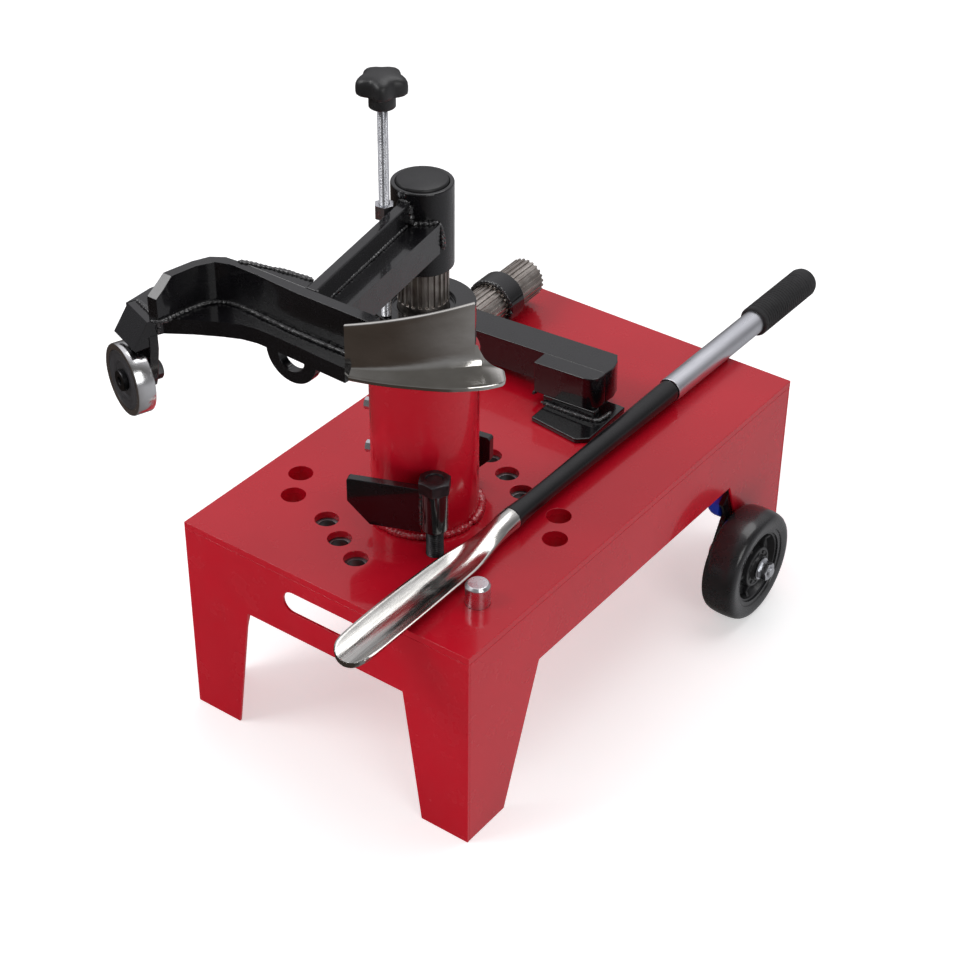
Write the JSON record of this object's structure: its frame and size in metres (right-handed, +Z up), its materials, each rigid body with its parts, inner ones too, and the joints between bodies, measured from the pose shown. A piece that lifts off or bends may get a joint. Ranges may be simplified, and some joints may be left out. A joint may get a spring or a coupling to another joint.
{
  "type": "manual truck tyre changer",
  "caption": "Manual tyre mounting stand: bench with wheels and column, height-adjustable swing arm with duckhead and rim roller, rim clamps, lever bar and extension arm.",
  "frame": {"origin": "centre of the whole part's bounding box on the floor", "axes": "+X to the right seen from the hand-slot end, +Y from the hand-slot end towards the transport wheels, +Z up"},
  "size_m": [0.48, 0.9257, 0.731],
  "materials": {
    "red_paint": "gloss red paint on folded sheet steel",
    "black_paint": "gloss black paint over rough welds",
    "zinc": "bright zinc plating",
    "polished_steel": "mirror polished steel",
    "machined_steel": "machined steel, oiled",
    "black_plastic": "satin black moulding",
    "tyre_rubber": "shiny black rubber tread",
    "grip_foam": "ribbed soft grip",
    "blue_plastic": "gloss blue moulding"
  },
  "bodies": {
    "bench": {"bench_top": "red_paint", "panel_front": "red_paint", "panel_left": "red_paint", "panel_right": "red_paint", "panel_back": "red_paint", "weld_nuts": "zinc", "pin_guides": "red_paint", "column_tube": "red_paint", "column_bead": "red_paint", "column_collar": "black_paint", "column_screws": "zinc", "wheel_bracket_left": "black_paint", "wheel_bracket_right": "black_paint", "bracket_plugs": "blue_plastic", "axle_bolts": "zinc", "axle_nuts": "zinc"},
    "wheel_left": {"tyre_left": "tyre_rubber", "hub_left": "black_plastic"},
    "wheel_right": {"tyre_right": "tyre_rubber", "hub_right": "black_plastic"},
    "clamp_bolt_front": {"clamp_bolt_front": "black_paint"},
    "clamp_flag_front": {"clamp_sleeve_front": "black_paint", "clamp_flag_front": "black_paint"},
    "clamp_bolt_rear": {"clamp_bolt_rear": "black_paint"},
    "clamp_flag_rear": {"clamp_sleeve_rear": "black_paint", "clamp_flag_rear": "black_paint"},
    "pin": {"locating_pin": "zinc"},
    "shaft": {"splined_shaft": "machined_steel"},
    "arm": {"arm_sleeve": "black_paint", "sleeve_cap": "black_plastic", "brace_bar": "black_paint", "brace_tube": "black_paint", "screw_nut": "zinc", "arm_plate": "black_paint", "arm_rib": "black_paint", "arm_gusset": "black_paint", "duckhead": "polished_steel", "arm_eye": "black_paint", "roller_bracket": "black_paint", "roller_leg": "black_paint", "roller_bolt": "black_paint"},
    "roller": {"roller_race": "polished_steel", "roller_seal": "black_plastic"},
    "height_screw": {"screw_rod": "zinc", "screw_knob": "black_plastic"},
    "pry_bar": {"pry_spoon": "polished_steel", "pry_shaft": "black_paint", "pry_tube": "zinc", "pry_grip": "grip_foam"},
    "extension": {"acc_bar": "black_paint", "acc_block": "black_paint", "acc_web": "black_paint", "acc_foot": "black_paint", "acc_ring": "black_paint", "acc_stub": "machined_steel"}
  },
  "joints": [
    {"name": "shaft_turn", "type": "hinge", "parent": "bench", "child": "shaft", "pos_m": [-0.002, -0.1576, 0.481], "axis": [0, 0, 1], "continuous": true},
    {"name": "screw_turn", "type": "hinge", "parent": "shaft", "child": "height_screw", "pos_m": [-0.0135, -0.2001, 0.6], "axis": [0, 0, -1], "range_deg": [-3600, 7200]},
    {"name": "arm_lift", "type": "slide", "parent": "shaft", "child": "arm", "axis": [0, 0, 1], "range_m": [-0.015, 0.03]},
    {"name": "roller_spin", "type": "hinge", "parent": "arm", "child": "roller", "pos_m": [-0.1112, -0.44284, 0.497], "axis": [0.35, 0.9368, 0], "continuous": true},
    {"name": "wheel_left_spin", "type": "hinge", "parent": "bench", "child": "wheel_left", "pos_m": [-0.2046, 0.1614, 0.065], "axis": [1, 0, 0], "continuous": true},
    {"name": "wheel_right_spin", "type": "hinge", "parent": "bench", "child": "wheel_right", "pos_m": [0.2046, 0.1614, 0.065], "axis": [1, 0, 0], "continuous": true},
    {"name": "clamp_front_screw", "type": "slide", "parent": "bench", "child": "clamp_bolt_front", "axis": [0, 0, 1], "range_m": [-0.015, 0.015]},
    {"name": "clamp_front_swing", "type": "hinge", "parent": "clamp_bolt_front", "child": "clamp_flag_front", "pos_m": [0.0545, -0.2151, 0.28], "axis": [0, 0, 1], "range_deg": [-15, 60]},
    {"name": "clamp_rear_screw", "type": "slide", "parent": "bench", "child": "clamp_bolt_rear", "axis": [0, 0, 1], "range_m": [-0.004, 0.03]},
    {"name": "clamp_rear_swing", "type": "hinge", "parent": "clamp_bolt_rear", "child": "clamp_flag_rear", "pos_m": [-0.0585, -0.1001, 0.27], "axis": [0, 0, 1], "range_deg": [0, 150]},
    {"name": "pin_lift", "type": "slide", "parent": "bench", "child": "pin", "axis": [0, 0, 1], "range_m": [0, 0.08]},
    {"name": "pry_bar_lift", "type": "slide", "parent": "bench", "child": "pry_bar", "axis": [0, 0, 1], "range_m": [0, 0.18]},
    {"name": "extension_lift", "type": "slide", "parent": "bench", "child": "extension", "axis": [0, 0, 1], "range_m": [0, 0.15]}
  ],
  "couplings": [
    {"joint": "screw_turn", "follows": "arm_lift", "rad_per_m": 4188.7}
  ]
}
